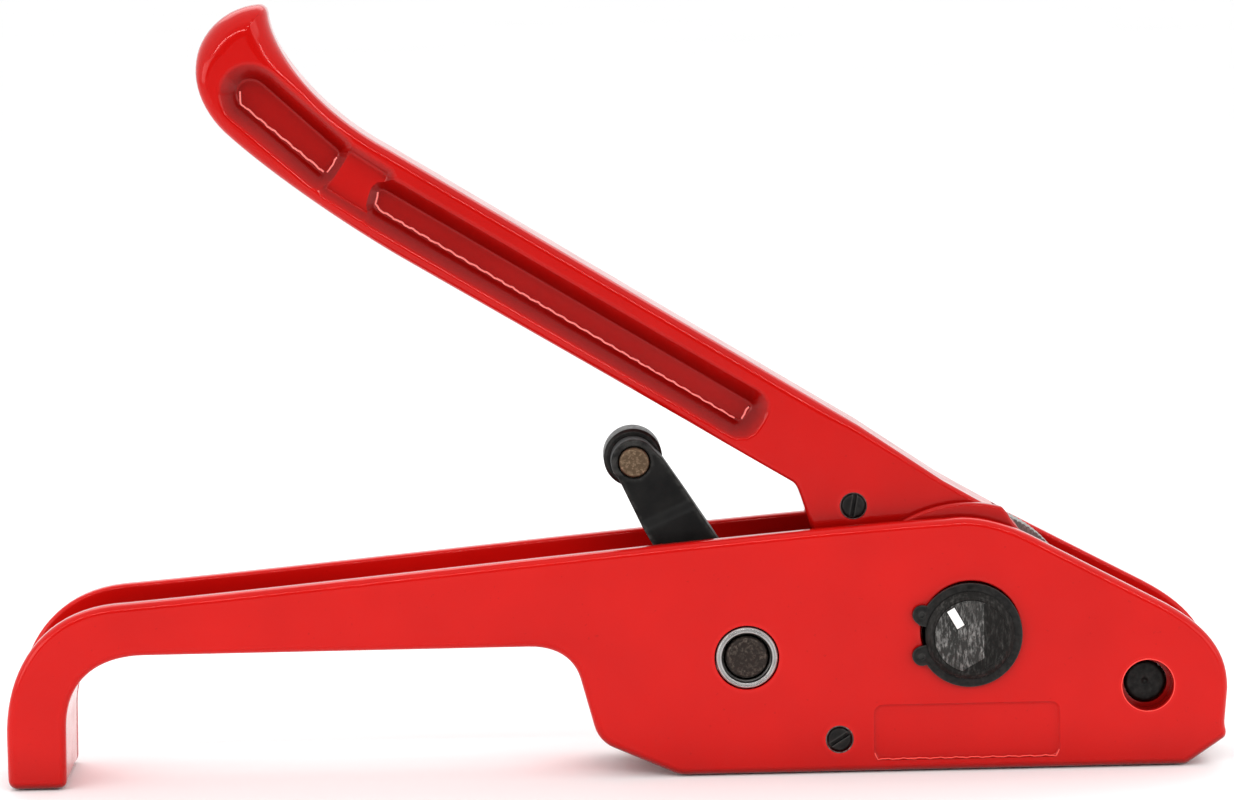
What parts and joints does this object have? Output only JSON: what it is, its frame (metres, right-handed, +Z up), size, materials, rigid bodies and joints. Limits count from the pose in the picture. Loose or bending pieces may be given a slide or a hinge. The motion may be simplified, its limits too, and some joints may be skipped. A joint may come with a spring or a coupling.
{
  "type": "strapping tensioner",
  "caption": "Hand tool that pulls strapping tight: cast channel frame with handle, ratchet lever turning a feed wheel on a rocker, and a release lever with a roller.",
  "frame": {"origin": "on the flat underside of the base, straight below the wheel shaft's axis, in the middle plane of the frame", "axes": "+X towards the nose, where the strap comes in, +Y towards the open strap side, +Z up"},
  "size_m": [0.3306, 0.0434, 0.2094],
  "materials": {
    "frame_paint": "glossy red enamel on casting",
    "lever_paint": "glossy red enamel on casting",
    "rocker_paint": "red enamel on casting",
    "black_casting": "satin black casting",
    "black_oxide": "black oxide steel",
    "tool_steel": "hardened tool steel",
    "bare_steel": "bare machined steel",
    "spring_steel": "spring wire",
    "bronze": "sintered bronze",
    "brown_steel": "browned steel pin"
  },
  "bodies": {
    "base": {"base_frame": "frame_paint", "gripper_plate": "tool_steel", "gripper_plate_screw_1": "black_oxide", "gripper_plate_screw_2": "black_oxide", "rocker_pivot_pin": "black_oxide", "release_pivot_pin": "tool_steel", "release_bushing_near": "bare_steel", "release_bushing_far": "bare_steel", "spring_anchor_screw": "black_oxide", "release_spring": "spring_steel", "rocker_spring": "spring_steel"},
    "rocker_arm": {"rocker": "rocker_paint", "rocker_pin_lock": "spring_steel", "holding_pawl_pin": "bare_steel", "holding_pawl_spring": "spring_steel"},
    "wheel_set": {"wheel_shaft": "black_oxide", "shaft_circlip": "black_oxide", "ratchet_wheel": "tool_steel", "feed_wheel": "bare_steel", "wheel_key": "bare_steel"},
    "lever_arm": {"tension_lever": "lever_paint", "lever_bush_near": "bronze", "lever_bush_far": "bronze", "drive_pawl_screw": "black_oxide", "drive_pawl_spring": "spring_steel"},
    "drive_pawl_arm": {"drive_pawl": "tool_steel"},
    "holding_pawl_arm": {"holding_pawl": "tool_steel"},
    "release_arm": {"release_lever": "black_casting", "roller_pin": "brown_steel", "roller_clip": "spring_steel"},
    "roller_ring": {"release_roller": "black_oxide"}
  },
  "joints": [
    {"name": "rocker_lift", "type": "hinge", "parent": "base", "child": "rocker_arm", "pos_m": [0.0485, 0, 0.0223], "axis": [0, 1, 0], "range_deg": [0, 2.4], "stiffness_Nm_per_rad": 12, "springref_deg": -14.32, "deforming": ["rocker_spring"]},
    {"name": "release_press", "type": "hinge", "parent": "base", "child": "release_arm", "pos_m": [-0.0603, 0, 0.0322], "axis": [0, -1, 0], "range_deg": [0, 16], "deforming": ["release_spring"]},
    {"name": "roller_spin", "type": "hinge", "parent": "release_arm", "child": "roller_ring", "pos_m": [-0.0896, 0, 0.0846], "axis": [0, -1, 0], "continuous": true},
    {"name": "wheel_spin", "type": "hinge", "parent": "rocker_arm", "child": "wheel_set", "pos_m": [0, 0, 0.0374], "axis": [0, 1, 0], "continuous": true},
    {"name": "tension_stroke", "type": "hinge", "parent": "rocker_arm", "child": "lever_arm", "pos_m": [0, 0, 0.0374], "axis": [0, 1, 0], "range_deg": [-4, 86]},
    {"name": "drive_pawl_lift", "type": "hinge", "parent": "lever_arm", "child": "drive_pawl_arm", "pos_m": [-0.0304, 0, 0.0717], "axis": [0, -1, 0], "range_deg": [0, 10], "stiffness_Nm_per_rad": 0.06, "springref_deg": -22.92, "deforming": ["drive_pawl_spring"]},
    {"name": "holding_pawl_lift", "type": "hinge", "parent": "rocker_arm", "child": "holding_pawl_arm", "pos_m": [-0.0335, 0, 0.0218], "axis": [0, -1, 0], "range_deg": [0, 10], "stiffness_Nm_per_rad": 0.06, "springref_deg": -22.92, "deforming": ["holding_pawl_spring"]}
  ],
  "couplings": [
    {"joint": "release_press", "follows": "rocker_lift", "ratio": 6.6667}
  ]
}
